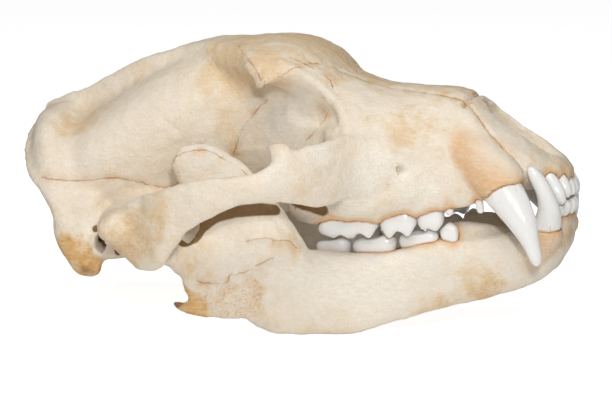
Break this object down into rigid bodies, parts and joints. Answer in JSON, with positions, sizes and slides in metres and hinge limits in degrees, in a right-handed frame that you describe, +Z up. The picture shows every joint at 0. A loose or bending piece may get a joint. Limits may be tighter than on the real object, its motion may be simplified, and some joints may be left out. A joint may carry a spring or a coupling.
{
  "type": "bear skull",
  "caption": "Dry skull of a brown bear with its lower jaw closed: braincase with a crest, flared cheek arches, loose jaw, and canines, incisors and cheek teeth in sockets. Rests on the jaw.",
  "frame": {"origin": "On the surface that the jaw rests on, at the middle of the skull's length and width.", "axes": "+X points out of the nose, along the length; +Y is the animal's left; +Z is up, out of the top of the skull."},
  "size_m": [0.3412, 0.2116, 0.174],
  "materials": {
    "cranium_bone": "dry cream bone, matte to satin, with tan and orange stains",
    "jaw_bone": "dry cream bone, matte to satin, with rusty spots",
    "enamel": "white enamel, slightly glossy"
  },
  "bodies": {
    "root": {"cranium": "cranium_bone", "lower_canine_left": "enamel", "lower_canine_right": "enamel", "lower_incisor_1_left": "enamel", "lower_incisor_1_right": "enamel", "lower_incisor_2_left": "enamel", "lower_incisor_2_right": "enamel", "lower_incisor_3_left": "enamel", "lower_incisor_3_right": "enamel", "lower_molar_1_left": "enamel", "lower_molar_1_right": "enamel", "lower_molar_2_left": "enamel", "lower_molar_2_right": "enamel", "lower_molar_3_left": "enamel", "lower_molar_3_right": "enamel", "lower_premolar_4_left": "enamel", "lower_premolar_4_right": "enamel", "mandible": "jaw_bone", "upper_canine_left": "enamel", "upper_canine_right": "enamel", "upper_incisor_1_left": "enamel", "upper_incisor_1_right": "enamel", "upper_incisor_2_left": "enamel", "upper_incisor_2_right": "enamel", "upper_incisor_3_left": "enamel", "upper_incisor_3_right": "enamel", "upper_molar_1_left": "enamel", "upper_molar_1_right": "enamel", "upper_molar_2_left": "enamel", "upper_molar_2_right": "enamel", "upper_premolar_1_left": "enamel", "upper_premolar_1_right": "enamel", "upper_premolar_3_left": "enamel", "upper_premolar_3_right": "enamel", "upper_premolar_4_left": "enamel", "upper_premolar_4_right": "enamel"}
  },
  "joints": []
}
